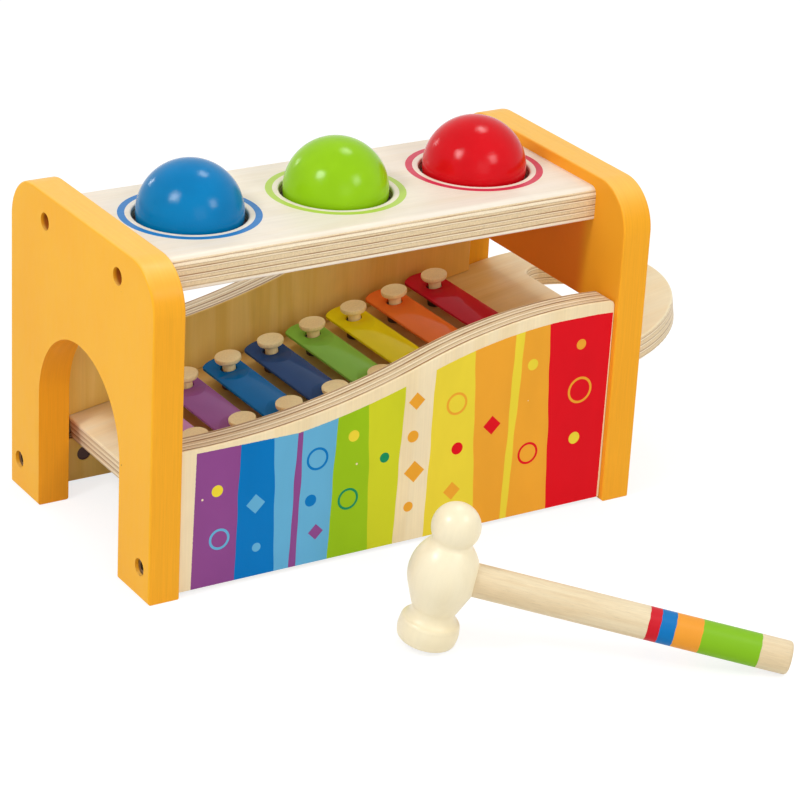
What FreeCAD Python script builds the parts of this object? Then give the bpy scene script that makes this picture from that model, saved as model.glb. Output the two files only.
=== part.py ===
# Peg pounding bench with three balls, a slide-out xylophone tray and a mallet.
# Millimetres. Built with x = 0 at the left end's outer face, y = 0 at the front,
# z = 0 at the floor. The whole model is then shifted so that the origin is at
# the middle of its footprint, on the floor.
import FreeCAD, Part
import math
import os

os.makedirs("parts", exist_ok=True)

V = FreeCAD.Vector
AXIS_X = V(1, 0, 0)
AXIS_Y = V(0, 1, 0)
AXIS_Z = V(0, 0, 1)

# Overall bench
bench_length = 237.3
bench_depth = 130.2
cut_overrun = 5.0

# End panels
end_height = 144.1
end_thickness = 14.2
end_corner_radius = 20.0
end_edge_round = 1.0
arch_radius = 37.5
arch_spring_height = 51.5
window_side_gap = 0.2
window_floor_gap = 0.5
window_pin_gap = 3.44
window_corner_radius = 2.0

# Screws and bolts through the end panels
top_screw_edge_distance = 9.1
counterbore_radius = 3.8
top_counterbore_depth = 8.0
screw_head_radius = 3.4
screw_head_height = 2.4
screw_shank_radius = 2.0
screw_grip_in_board = 26.0
bolt_height = 13.7
bolt_head_radius = 3.6
bolt_head_height = 4.0
bolt_counterbore_depth = 5.5
bolt_socket_radius = 2.0
bolt_socket_depth = 2.2
bolt_shank_radius = 2.4
bolt_past_nut = 2.0
nut_radius = 3.3
nut_setback = 13.6
nut_length = 9.0
nut_recess = 0.4
dowel_radius = 3.0
dowel_depth = 10.0
dowel_height = 46.0

# Top board
board_top_drop = 5.1
board_thickness = 14.6
board_depth = 84.1
board_shift_to_front = 0.55
board_top_round = 3.5
board_bottom_round = 0.8
hole_ball_gap = 1.6
hole_row_margin = 1.3
hole_row_shift = 0.45
hole_edge_round = 0.8

# Balls and the rubber rings that carry them
ball_colours = ("blue", "green", "red")
ball_sides = ("left", "middle", "right")
ball_radius = 22.5
ring_wire_radius = 2.2
ring_inside_hole = 0.62
ring_seat_gap = 0.05
ring_groove_gap = 0.05

# Front and back panels
panel_thickness = 12.6
panel_inset = 2.3
panel_foot_gap = 1.6
panel_edge_round = 0.6
panel_corner_radius = 3.0
curve_low_inset = 5.8
curve_low_height = 64.6
curve_high_inset = 18.1
curve_high_height = 95.3
curve_bend_share = 0.587

# Tray: s runs up its slope from the left end's outer face, h is the height above its top face
tray_tilt_degrees = 9.58
tray_height_at_left = 29.4
tray_thickness = 11.0
tray_left = 20.0
tray_corner_radius = 8.5
tray_bow_inset = 4.9
tray_edge_round = 1.0
hand_hole_rim = 18.0
hand_hole_setback = 8.9
hand_hole_corner = 6.0
groove_depth = 5.8
groove_side_gap = 0.2
groove_face_gap = 0.3
groove_stop_gap = 0.35

# Xylophone bars, their pins and sleeves
bar_names = ("lilac", "purple", "blue", "navy", "green", "yellow", "orange", "red")
first_pin_inset = 24.5
last_pin_inset = 28.6
pin_span_base = 2.65
pin_span_share = 0.6256
bar_gap = 5.68
bar_thickness = 1.2
bar_crown_height = 1.1
bar_end_radius = 10.5
bar_corner_radius = 2.5
last_bar_side_gap = 1.95
bar_half_length_step = 1.95
bar_side_step = 1.0
pin_hole_gap = 0.85
hole_slip_share = 0.5
bar_edge_round = 0.3
crown_end_margin = 1.5
crown_ramp_share = 0.4
sleeve_seat_width = 0.45
sleeve_bore_gap = 0.1
sleeve_height = 7.8
pin_radius = 2.85
pin_head_radius = 5.85
pin_head_height = 2.6
pin_head_top_round = 0.4
pin_head_low_round = 1.5
pin_head_underside = 12.3
pin_depth = 7.5

# Mallet: the outline of its head is given from the foot up
mallet_x = 84.3
mallet_y = -75.8
mallet_turn_degrees = -35.86
foot_radius = 12.1
foot_corner_round = 2.4
foot_bulge = 0.35
foot_side_height = 5.8
waist_radius = 9.0
waist_rise = 3.0
flare_start_step = 0.75
flare_start_rise = 3.3
flare_rise = 8.0
flare_end_step = 1.3
barrel_radius = 14.3
barrel_rise = 6.3
shoulder_rise = 13.6
neck_lip = 0.45
neck_rise = 1.4
neck_dip = 0.5
neck_end_rise = 1.33
knob_tuck = 1.3
knob_radius = 9.95
grip_radius = 6.85
grip_end_round = 1.5
grip_above_barrel = 0.5
grip_reach = 141.0
grip_socket_depth = 9.0

# Places of the bench worked out from the sizes above
depth_middle = bench_depth / 2
inner_left = end_thickness
inner_right = bench_length - end_thickness
board_top = end_height - board_top_drop
board_bottom = board_top - board_thickness
board_front = depth_middle - board_shift_to_front - board_depth / 2
board_rear = board_front + board_depth
board_middle_height = board_top - board_thickness / 2
ball_count = len(ball_colours)
hole_pitch = (inner_right - inner_left - hole_row_margin) / ball_count
hole_row_start = bench_length / 2 + hole_row_shift - hole_pitch * (ball_count - 1) / 2
hole_xs = [hole_row_start + k * hole_pitch for k in range(ball_count)]
hole_radius = ball_radius + hole_ball_gap
ring_centre_radius = hole_radius - ring_inside_hole
ring_height = board_middle_height
ball_seat = ball_radius + ring_wire_radius + ring_seat_gap
ball_height = ring_height + math.sqrt(ball_seat**2 - ring_centre_radius**2)
panel_inner = panel_inset + panel_thickness
panel_middle = panel_inset + panel_thickness / 2
curve_low_x = inner_left + curve_low_inset
curve_high_x = inner_right - curve_high_inset

# Places of the tray and its bars worked out from the sizes above
inner_half_width = depth_middle - panel_inner
tray_bow_radius = inner_half_width + groove_depth
tray_front = depth_middle - tray_bow_radius
tray_rear = depth_middle + tray_bow_radius
tray_tilt = math.radians(tray_tilt_degrees)
tray_rise = math.tan(tray_tilt)
tray_bow_centre = (bench_length - tray_bow_inset) / math.cos(tray_tilt)
hand_hole_left = tray_bow_centre + hand_hole_setback
hand_hole_radius = tray_bow_radius - hand_hole_rim
last_bar = len(bar_names) - 1
bar_numbers = range(len(bar_names))
first_pin = tray_left + first_pin_inset
last_pin = inner_right / math.cos(tray_tilt) - last_pin_inset
bar_pitch = (last_pin - first_pin) / last_bar
bar_width = bar_pitch - bar_gap
bar_hole_radius = pin_radius + pin_hole_gap
hole_slip = pin_hole_gap * hole_slip_share
sleeve_radius = bar_hole_radius + sleeve_seat_width
last_bar_half_length = inner_half_width - last_bar_side_gap
bar_half_lengths = [last_bar_half_length - (last_bar - k) * bar_half_length_step for k in bar_numbers]
pin_half_spans = [pin_span_base + half_length * pin_span_share for half_length in bar_half_lengths]
pin_places = [first_pin + k * bar_pitch for k in bar_numbers]
pin_top = (pin_head_underside + pin_head_height) / math.cos(tray_tilt)
window_front = tray_front - window_side_gap
window_rear = tray_rear + window_side_gap
window_height_at_tray = tray_height_at_left + inner_right * tray_rise - tray_thickness / math.cos(tray_tilt)
window_bottom = window_height_at_tray - window_floor_gap
window_top = tray_height_at_left + bench_length * tray_rise + pin_top + window_pin_gap

# Places of the mallet worked out from the sizes above
foot_side_top = foot_corner_round + foot_side_height
foot_shoulder_top = foot_side_top + foot_corner_round * math.sin(math.pi / 4)
waist_height = foot_shoulder_top + waist_rise
flare_start_height = waist_height + flare_start_rise
flare_end_height = flare_start_height + flare_rise
barrel_height = flare_end_height + barrel_rise
shoulder_end_height = barrel_height + shoulder_rise
neck_height = shoulder_end_height + neck_rise
neck_end_height = neck_height + neck_end_rise
neck_end_radius = knob_radius - knob_tuck
neck_radius = neck_end_radius - neck_dip
knob_height = neck_end_height + math.sqrt(knob_radius**2 - neck_end_radius**2)
grip_height = barrel_height + grip_above_barrel
lean_rise = grip_height - grip_radius + grip_end_round - foot_corner_round
lean_run = grip_reach - grip_end_round - foot_radius + foot_corner_round
lean_step = math.asin((foot_corner_round - grip_end_round) / math.hypot(lean_rise, lean_run))
mallet_tilt = math.atan2(lean_rise, lean_run) + lean_step


# Shape helpers
def block(x0, x1, y0, y1, z0, z1):
    return Part.makeBox(x1 - x0, y1 - y0, z1 - z0, V(x0, y0, z0))


def rod(radius, start, end):
    return Part.makeCylinder(radius, (end - start).Length, start, end - start)


def line(start, end):
    return Part.LineSegment(start, end).toShape()


def arc(start, through, end):
    return Part.Arc(start, through, end).toShape()


def pull(edges, direction):
    return Part.Face(Part.Wire(Part.__sortEdges__(edges))).extrude(direction)


def group(solids):
    return Part.makeCompound(solids)


def joined(first, others):
    return first.multiFuse(others).removeSplitter()


def mirrored_in_depth(shape):
    return shape.mirror(V(0, depth_middle, 0), AXIS_Y)


def mirrored_in_length(shape):
    return shape.mirror(V(bench_length / 2, 0, 0), AXIS_X)


def edges_at(shape, test):
    return [edge for edge in shape.Edges if test(edge)]


def lies_flat(edge, coordinate, value, slack):
    box = edge.BoundBox
    low = {"x": box.XMin, "y": box.YMin, "z": box.ZMin}[coordinate]
    high = {"x": box.XMax, "y": box.YMax, "z": box.ZMax}[coordinate]
    return abs(low - value) < slack and abs(high - value) < slack


# End panels
same_place = end_edge_round / 100


def end_blank():
    blank = block(0, end_thickness, 0, bench_depth, 0, end_height)
    corners = edges_at(
        blank,
        lambda e: lies_flat(e, "z", end_height, same_place)
        and (lies_flat(e, "y", 0, same_place) or lies_flat(e, "y", bench_depth, same_place)),
    )
    return blank.makeFillet(end_corner_radius, corners)


def arch_cutter():
    low_front = V(-cut_overrun, depth_middle - arch_radius, -cut_overrun)
    low_rear = V(-cut_overrun, depth_middle + arch_radius, -cut_overrun)
    spring_front = V(-cut_overrun, depth_middle - arch_radius, arch_spring_height)
    spring_rear = V(-cut_overrun, depth_middle + arch_radius, arch_spring_height)
    crown = V(-cut_overrun, depth_middle, arch_spring_height + arch_radius)
    edges = [
        line(low_front, spring_front),
        arc(spring_front, crown, spring_rear),
        line(spring_rear, low_rear),
        line(low_rear, low_front),
    ]
    return pull(edges, V(end_thickness + 2 * cut_overrun, 0, 0))


def window_cutter():
    cutter = block(
        inner_right - cut_overrun,
        bench_length + cut_overrun,
        window_front,
        window_rear,
        window_bottom,
        window_top,
    )
    corners = edges_at(cutter, lambda e: abs(e.tangentAt(e.FirstParameter).x) > math.cos(math.pi / 4))
    return cutter.makeFillet(window_corner_radius, corners)


def round_outer_edges(panel, x):
    edges = edges_at(panel, lambda e: lies_flat(e, "x", x, same_place))
    return panel.makeFillet(end_edge_round, edges)


def rounded_blank():
    panel = round_outer_edges(end_blank(), 0)
    return round_outer_edges(panel, end_thickness)


def top_screw_places():
    return [
        (board_front + top_screw_edge_distance, board_middle_height),
        (board_rear - top_screw_edge_distance, board_middle_height),
    ]


def bolt_places():
    return [(panel_middle, bolt_height), (bench_depth - panel_middle, bolt_height)]


def dowel_places():
    return [(panel_middle, dowel_height), (bench_depth - panel_middle, dowel_height)]


def stepped_hole(y, z, depth, shank_radius):
    wide = rod(counterbore_radius, V(-cut_overrun, y, z), V(depth, y, z))
    narrow = rod(shank_radius, V(-cut_overrun, y, z), V(end_thickness + cut_overrun, y, z))
    return [wide, narrow]


def left_end_cutters():
    cutters = []
    for y, z in top_screw_places():
        cutters += stepped_hole(y, z, top_counterbore_depth, screw_shank_radius)
    for y, z in bolt_places():
        cutters += stepped_hole(y, z, bolt_counterbore_depth, bolt_shank_radius)
    for y, z in dowel_places():
        blind_end = V(end_thickness - dowel_depth, y, z)
        cutters.append(rod(dowel_radius, blind_end, V(end_thickness + cut_overrun, y, z)))
    return cutters


def left_end_panel():
    return rounded_blank().cut(left_end_cutters() + [arch_cutter()])


def right_end_panel():
    panel = mirrored_in_length(rounded_blank().cut(left_end_cutters()))
    return panel.cut(window_cutter())


# Fasteners, made at the left end and mirrored to the right
def top_screw(y, z):
    seat = V(top_counterbore_depth, y, z)
    head = rod(screw_head_radius, V(top_counterbore_depth - screw_head_height, y, z), seat)
    shank = rod(screw_shank_radius, seat, V(end_thickness + screw_grip_in_board, y, z))
    return joined(head, [shank])


def panel_bolt(y, z):
    head_face = V(bolt_counterbore_depth - bolt_head_height, y, z)
    seat = V(bolt_counterbore_depth, y, z)
    tip = V(end_thickness + nut_setback + nut_radius + bolt_past_nut, y, z)
    bolt = joined(rod(bolt_head_radius, head_face, seat), [rod(bolt_shank_radius, seat, tip)])
    socket_edges = []
    sides = 6
    corners = []
    for k in range(sides):
        angle = 2 * math.pi * k / sides
        spread = V(0, math.cos(angle), math.sin(angle)).multiply(bolt_socket_radius)
        corners.append(head_face.add(spread))
    for k in range(sides):
        socket_edges.append(line(corners[k], corners[(k + 1) % sides]))
    return bolt.cut(pull(socket_edges, V(bolt_socket_depth, 0, 0)))


def nut_span(front):
    face = panel_inner - nut_recess
    if front:
        return face - nut_length, face
    return bench_depth - face, bench_depth - face + nut_length


def barrel_nut(z, front):
    x = end_thickness + nut_setback
    y0, y1 = nut_span(front)
    nut = rod(nut_radius, V(x, y0, z), V(x, y1, z))
    bolt_y = panel_middle if front else bench_depth - panel_middle
    bore = rod(bolt_shank_radius, V(end_thickness, bolt_y, z), V(x + nut_radius + cut_overrun, bolt_y, z))
    return nut.cut(bore)


def both_ends(solids):
    return group(solids + [mirrored_in_length(s) for s in solids])


def top_screws():
    return both_ends([top_screw(y, z) for y, z in top_screw_places()])


def panel_bolts():
    return both_ends([panel_bolt(y, z) for y, z in bolt_places()])


def barrel_nuts():
    return both_ends([barrel_nut(bolt_height, True), barrel_nut(bolt_height, False)])


def panel_dowels():
    pegs = []
    for y, z in dowel_places():
        in_end = V(end_thickness - dowel_depth, y, z)
        in_panel = V(end_thickness + dowel_depth, y, z)
        pegs.append(rod(dowel_radius, in_end, in_panel))
    return both_ends(pegs)


# Top board with its ball holes
def top_board():
    board = block(inner_left, inner_right, board_front, board_rear, board_bottom, board_top)
    for z, radius in ((board_top, board_top_round), (board_bottom, board_bottom_round)):
        long_edges = edges_at(
            board,
            lambda e: lies_flat(e, "z", z, same_place) and e.BoundBox.XLength > e.BoundBox.YLength,
        )
        board = board.makeFillet(radius, long_edges)
    for x in hole_xs:
        foot = V(x, depth_middle, board_bottom - cut_overrun)
        head = V(x, depth_middle, board_top + cut_overrun)
        board = board.cut(rod(hole_radius, foot, head))
    rims = edges_at(
        board,
        lambda e: e.Curve.TypeId == "Part::GeomCircle"
        and (lies_flat(e, "z", board_top, same_place) or lies_flat(e, "z", board_bottom, same_place)),
    )
    board = board.makeFillet(hole_edge_round, rims)
    groove_radius = ring_centre_radius + ring_wire_radius + ring_groove_gap
    groove_half_height = ring_wire_radius + ring_groove_gap
    cutters = []
    for x in hole_xs:
        low = V(x, depth_middle, ring_height - groove_half_height)
        high = V(x, depth_middle, ring_height + groove_half_height)
        cutters.append(rod(groove_radius, low, high))
    for y, z in top_screw_places():
        for x, inward in ((inner_left, 1), (inner_right, -1)):
            tip = V(x + inward * screw_grip_in_board, y, z)
            cutters.append(rod(screw_shank_radius, V(x, y, z), tip))
    return board.cut(cutters)


def ball(x):
    return Part.makeSphere(ball_radius, V(x, depth_middle, ball_height))


def ball_ring(x):
    return Part.makeTorus(ring_centre_radius, ring_wire_radius, V(x, depth_middle, ring_height), AXIS_Z)


# Front and back panels with their curved top edge
def panel_outline(y):
    drop = curve_high_height - curve_low_height
    span = curve_high_x - curve_low_x
    radii = (span**2 + drop**2) / (2 * drop)
    low_radius = radii * curve_bend_share
    high_radius = radii - low_radius
    low_centre = V(curve_low_x, y, curve_low_height + low_radius)
    high_centre = V(curve_high_x, y, curve_high_height - high_radius)
    turn = math.atan2(span, radii - drop)

    def on_low(angle):
        return low_centre.add(V(math.sin(angle), 0, -math.cos(angle)).multiply(low_radius))

    def on_high(angle):
        return high_centre.add(V(-math.sin(angle), 0, math.cos(angle)).multiply(high_radius))

    end_angle = -math.asin((inner_right - curve_high_x) / high_radius)
    low_left = V(inner_left, y, panel_foot_gap)
    low_right = V(inner_right, y, panel_foot_gap)
    high_left = V(inner_left, y, curve_low_height)
    return [
        line(low_left, high_left),
        line(high_left, on_low(0)),
        arc(on_low(0), on_low(turn / 2), on_low(turn)),
        arc(on_low(turn), on_high((turn + end_angle) / 2), on_high(end_angle)),
        line(on_high(end_angle), low_right),
        line(low_right, low_left),
    ]


def tray_frame(shape):
    placed = shape.copy()
    placed.rotate(V(0, 0, 0), AXIS_Y, -tray_tilt_degrees)
    placed.translate(V(0, 0, tray_height_at_left))
    return placed


def groove_cutter():
    half_height = tray_thickness / 2 + groove_face_gap
    middle = -tray_thickness / 2
    overlap = math.sqrt(half_height**2 - (tray_thickness / 2) ** 2)
    round_centre = tray_left + overlap - groove_stop_gap
    y = tray_front - groove_side_gap
    width = 2 * (tray_bow_radius + groove_side_gap)
    slot = block(
        round_centre,
        bench_length + cut_overrun,
        y,
        y + width,
        middle - half_height,
        middle + half_height,
    )
    end = rod(half_height, V(round_centre, y, middle), V(round_centre, y + width, middle))
    return tray_frame(joined(slot, [end]))


def front_panel():
    panel = pull(panel_outline(panel_inset), V(0, panel_thickness, 0))
    top_right = edges_at(
        panel,
        lambda e: lies_flat(e, "x", inner_right, same_place) and e.BoundBox.ZMin > curve_low_height,
    )
    panel = panel.makeFillet(panel_corner_radius, top_right)
    rim = edges_at(
        panel,
        lambda e: e.BoundBox.ZMax > curve_low_height + same_place
        and e.BoundBox.ZMin > curve_low_height - same_place
        and (lies_flat(e, "y", panel_inset, same_place) or lies_flat(e, "y", panel_inner, same_place)),
    )
    panel = panel.makeFillet(panel_edge_round, rim)
    cutters = [groove_cutter()]
    y0, y1 = nut_span(True)
    for x, inward in ((inner_left, 1), (inner_right, -1)):
        nut_x = x + inward * nut_setback
        bolt_tip_x = nut_x + inward * (nut_radius + bolt_past_nut)
        bolt_mouth = V(x, panel_middle, bolt_height)
        cutters.append(rod(bolt_shank_radius, bolt_mouth, V(bolt_tip_x, panel_middle, bolt_height)))
        cutters.append(rod(nut_radius, V(nut_x, y0, bolt_height), V(nut_x, panel_inner, bolt_height)))
        dowel_tip = V(x + inward * dowel_depth, panel_middle, dowel_height)
        cutters.append(rod(dowel_radius, V(x, panel_middle, dowel_height), dowel_tip))
    return panel.cut(cutters)


# Tray board
def tray_outline_solid():
    left = tray_left
    corner_front = tray_front + tray_corner_radius
    corner_rear = tray_rear - tray_corner_radius
    inset = tray_corner_radius * (1 - math.sqrt(2) / 2)
    bottom = -tray_thickness
    edges = [
        line(V(left, corner_front, bottom), V(left, corner_rear, bottom)),
        arc(
            V(left, corner_rear, bottom),
            V(left + inset, tray_rear - inset, bottom),
            V(left + tray_corner_radius, tray_rear, bottom),
        ),
        line(V(left + tray_corner_radius, tray_rear, bottom), V(tray_bow_centre, tray_rear, bottom)),
        arc(
            V(tray_bow_centre, tray_rear, bottom),
            V(tray_bow_centre + tray_bow_radius, depth_middle, bottom),
            V(tray_bow_centre, tray_front, bottom),
        ),
        line(V(tray_bow_centre, tray_front, bottom), V(left + tray_corner_radius, tray_front, bottom)),
        arc(
            V(left + tray_corner_radius, tray_front, bottom),
            V(left + inset, tray_front + inset, bottom),
            V(left, corner_front, bottom),
        ),
    ]
    return pull(edges, V(0, 0, tray_thickness))


def hand_hole_cutter():
    low = -tray_thickness - cut_overrun
    half_chord = math.sqrt(hand_hole_radius**2 - (hand_hole_left - tray_bow_centre) ** 2)
    front = V(hand_hole_left, depth_middle - half_chord, low)
    rear = V(hand_hole_left, depth_middle + half_chord, low)
    tip = V(tray_bow_centre + hand_hole_radius, depth_middle, low)
    cutter = pull([line(front, rear), arc(rear, tip, front)], V(0, 0, tray_thickness + 2 * cut_overrun))
    corners = edges_at(cutter, lambda e: abs(e.tangentAt(e.FirstParameter).z) > math.cos(math.pi / 4))
    return cutter.makeFillet(hand_hole_corner, corners)


def tray_board():
    board = tray_outline_solid().cut(hand_hole_cutter())
    rims = edges_at(
        board,
        lambda e: lies_flat(e, "z", 0, same_place) or lies_flat(e, "z", -tray_thickness, same_place),
    )
    board = board.makeFillet(tray_edge_round, rims)
    pockets = []
    for s, half_span in zip(pin_places, pin_half_spans):
        for side in (-1, 1):
            y = depth_middle + side * half_span
            pockets.append(rod(pin_radius, V(s, y, -pin_depth), V(s, y, cut_overrun)))
    return tray_frame(board.cut(pockets))


# Xylophone bars
def bar(k):
    middle = V(pin_places[k] - bar_side_step, depth_middle, sleeve_height)
    half_width = bar_width / 2
    half_length = bar_half_lengths[k] - bar_end_sagitta()
    low_left = middle.add(V(-half_width, -half_length, 0))
    low_right = middle.add(V(half_width, -half_length, 0))
    high_right = middle.add(V(half_width, half_length, 0))
    high_left = middle.add(V(-half_width, half_length, 0))
    low_tip = middle.add(V(0, -bar_half_lengths[k], 0))
    high_tip = middle.add(V(0, bar_half_lengths[k], 0))
    edges = [
        line(high_left, low_left),
        arc(low_left, low_tip, low_right),
        line(low_right, high_right),
        arc(high_right, high_tip, high_left),
    ]
    plate = pull(edges, V(0, 0, bar_thickness))
    corners = edges_at(plate, lambda e: abs(e.tangentAt(e.FirstParameter).z) > math.cos(math.pi / 4))
    plate = plate.makeFillet(bar_corner_radius, corners)
    upper = edges_at(plate, lambda e: lies_flat(e, "z", sleeve_height + bar_thickness, same_place))
    plate = plate.makeFillet(bar_edge_round, upper)
    body = joined(plate, [bar_crown(k, middle)])
    hole_s = pin_places[k] - hole_slip
    hole_low = sleeve_height - cut_overrun
    hole_high = sleeve_height + bar_thickness + cut_overrun
    holes = []
    for side in (-1, 1):
        y = depth_middle + side * pin_half_spans[k]
        holes.append(rod(bar_hole_radius, V(hole_s, y, hole_low), V(hole_s, y, hole_high)))
    return tray_frame(body.cut(holes))


def bar_end_sagitta():
    return bar_end_radius - math.sqrt(bar_end_radius**2 - (bar_width / 2) ** 2)


# The crown is a low arch that runs along the bar and ramps down before each pin.
def bar_crown(k, middle):
    half_width = bar_width / 2 - bar_edge_round - same_place
    half_run = pin_half_spans[k] - bar_hole_radius - crown_end_margin
    half_crest = half_run * (1 - crown_ramp_share)
    arch = (half_width**2 + bar_crown_height**2) / (2 * bar_crown_height)
    axis = middle.add(V(0, 0, bar_thickness + bar_crown_height - arch))
    barrel = rod(arch, axis.add(V(0, -half_run, 0)), axis.add(V(0, half_run, 0)))
    low = bar_thickness - same_place
    high = bar_thickness + bar_crown_height + same_place
    side = middle.add(V(-half_width, 0, 0))
    corners = [
        side.add(V(0, -half_run, low)),
        side.add(V(0, -half_crest, high)),
        side.add(V(0, half_crest, high)),
        side.add(V(0, half_run, low)),
    ]
    edges = [line(corners[n - 1], corners[n]) for n in range(len(corners))]
    return barrel.common(pull(edges, V(2 * half_width, 0, 0)))


def bar_pin(s, y):
    top = pin_head_underside + pin_head_height
    shank = rod(pin_radius, V(s, y, -pin_depth), V(s, y, pin_head_underside))
    head = rod(pin_head_radius, V(s, y, pin_head_underside), V(s, y, top))
    for h, radius in ((top, pin_head_top_round), (pin_head_underside, pin_head_low_round)):
        rim = edges_at(head, lambda e: e.Curve.TypeId == "Part::GeomCircle" and lies_flat(e, "z", h, same_place))
        head = head.makeFillet(radius, rim)
    return tray_frame(joined(shank, [head]))


def bar_sleeve(s, y):
    sleeve = rod(sleeve_radius, V(s, y, 0), V(s, y, sleeve_height))
    bore = rod(pin_radius + sleeve_bore_gap, V(s, y, -cut_overrun), V(s, y, sleeve_height + cut_overrun))
    return tray_frame(sleeve.cut(bore))


def row_of(make, side):
    solids = []
    for s, half_span in zip(pin_places, pin_half_spans):
        solids.append(make(s, depth_middle + side * half_span))
    return group(solids)


# Mallet, made upright with its grip along x, then leant onto the floor
def mallet_place(shape):
    placed = shape.copy()
    lift = foot_contact_lift()
    placed.rotate(V(0, 0, 0), AXIS_Y, math.degrees(mallet_tilt))
    placed.translate(V(0, 0, lift))
    placed.rotate(V(0, 0, 0), AXIS_Z, mallet_turn_degrees)
    placed.translate(V(mallet_x, mallet_y, 0))
    return placed


def foot_contact_lift():
    corner_x = foot_radius - foot_corner_round
    low = foot_corner_round * math.cos(mallet_tilt) - corner_x * math.sin(mallet_tilt)
    return foot_corner_round - low


def on_foot_corner(height, angle):
    spread = V(math.cos(angle), 0, math.sin(angle)).multiply(foot_corner_round)
    return V(foot_radius - foot_corner_round, 0, height).add(spread)


# An arc that runs upright into the barrel's widest ring
def barrel_arc(start):
    rise = barrel_height - start.z
    step = barrel_radius - start.x
    radius = (rise**2 + step**2) / (2 * step)
    half_angle = math.atan2(rise, radius - step) / 2
    centre = V(barrel_radius - radius, 0, barrel_height)
    through = centre.add(V(math.cos(half_angle), 0, -math.sin(half_angle)).multiply(radius))
    return arc(start, through, V(barrel_radius, 0, barrel_height))


def mallet_head():
    quarter = math.pi / 2
    foot_edge = on_foot_corner(foot_corner_round, -quarter)
    foot_low = on_foot_corner(foot_corner_round, 0)
    foot_side_middle = V(foot_radius + foot_bulge, 0, foot_corner_round + foot_side_height / 2)
    foot_high = on_foot_corner(foot_side_top, 0)
    foot_shoulder = on_foot_corner(foot_side_top, quarter / 2)
    flare_start = V(waist_radius + flare_start_step, 0, flare_start_height)
    flare_end = V(barrel_radius - flare_end_step, 0, flare_end_height)
    shoulder_end = V(neck_radius + neck_lip, 0, shoulder_end_height)
    neck_end = V(neck_end_radius, 0, neck_end_height)
    top = V(0, 0, knob_height + knob_radius)
    outline = [
        line(V(0, 0, 0), foot_edge),
        arc(foot_edge, on_foot_corner(foot_corner_round, -quarter / 2), foot_low),
        arc(foot_low, foot_side_middle, foot_high),
        arc(foot_high, on_foot_corner(foot_side_top, quarter / 4), foot_shoulder),
        arc(foot_shoulder, V(waist_radius, 0, waist_height), flare_start),
        line(flare_start, flare_end),
        barrel_arc(flare_end),
        barrel_arc(shoulder_end),
        arc(shoulder_end, V(neck_radius, 0, neck_height), neck_end),
        arc(neck_end, V(knob_radius, 0, knob_height), top),
        line(top, V(0, 0, 0)),
    ]
    face = Part.Face(Part.Wire(Part.__sortEdges__(outline)))
    full_turn = 360
    head = face.revolve(V(0, 0, 0), AXIS_Z, full_turn)
    socket_start = V(barrel_radius - grip_socket_depth, 0, grip_height)
    socket = rod(grip_radius, socket_start, V(barrel_radius + cut_overrun, 0, grip_height))
    return mallet_place(head.cut(socket))


def mallet_handle():
    start = V(barrel_radius - grip_socket_depth, 0, grip_height)
    handle = rod(grip_radius, start, V(grip_reach, 0, grip_height))
    far_rim = edges_at(
        handle,
        lambda e: e.Curve.TypeId == "Part::GeomCircle" and lies_flat(e, "x", grip_reach, same_place),
    )
    return mallet_place(handle.makeFillet(grip_end_round, far_rim))


# All nodes
def nodes():
    made = {
        "left_end_panel": left_end_panel(),
        "right_end_panel": right_end_panel(),
        "top_board": top_board(),
        "front_panel": front_panel(),
        "back_panel": mirrored_in_depth(front_panel()),
        "panel_dowels": panel_dowels(),
        "top_screws": top_screws(),
        "panel_bolts": panel_bolts(),
        "barrel_nuts": barrel_nuts(),
        "tray_board": tray_board(),
        "rear_bar_pins": row_of(bar_pin, 1),
        "front_bar_pins": row_of(bar_pin, -1),
        "rear_bar_sleeves": row_of(bar_sleeve, 1),
        "front_bar_sleeves": row_of(bar_sleeve, -1),
        "mallet_head": mallet_head(),
        "mallet_handle": mallet_handle(),
    }
    for x, colour, side in zip(hole_xs, ball_colours, ball_sides):
        made["ball_" + colour] = ball(x)
        made["ball_ring_" + side] = ball_ring(x)
    for k, colour in enumerate(bar_names):
        made["bar_" + colour] = bar(k)
    return made


def write_parts():
    made = nodes()
    whole = group(list(made.values())).optimalBoundingBox(False, False)
    shift = V(-(whole.XMin + whole.XMax) / 2, -(whole.YMin + whole.YMax) / 2, 0)
    for name, shape in made.items():
        shape.translate(shift)
        shape.exportStep("parts/" + name + ".step")
        solids = len(shape.Solids)
        print(name, "solids", solids, "valid", shape.isValid(), "volume", round(shape.Volume, 1))
    print("shift", [round(c, 3) for c in shift], "floor", round(whole.ZMin, 4))
    print("size", [round(v, 2) for v in (whole.XLength, whole.YLength, whole.ZLength)])


write_parts()
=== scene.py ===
import math

import bpy
from mathutils import Matrix, Vector


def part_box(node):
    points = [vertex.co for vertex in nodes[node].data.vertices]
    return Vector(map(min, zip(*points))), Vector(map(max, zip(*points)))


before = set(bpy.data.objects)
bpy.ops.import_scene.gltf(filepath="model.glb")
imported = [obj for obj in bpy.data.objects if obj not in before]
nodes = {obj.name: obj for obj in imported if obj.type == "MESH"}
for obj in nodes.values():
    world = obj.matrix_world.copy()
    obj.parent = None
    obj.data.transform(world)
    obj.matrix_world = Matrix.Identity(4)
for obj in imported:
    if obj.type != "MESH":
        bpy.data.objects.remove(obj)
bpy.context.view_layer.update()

# The bench's own corner: left end's outer face, front, floor
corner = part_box("left_end_panel")[0]
HOME = (corner.x, corner.y, 0.0)
MM = 0.001

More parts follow.
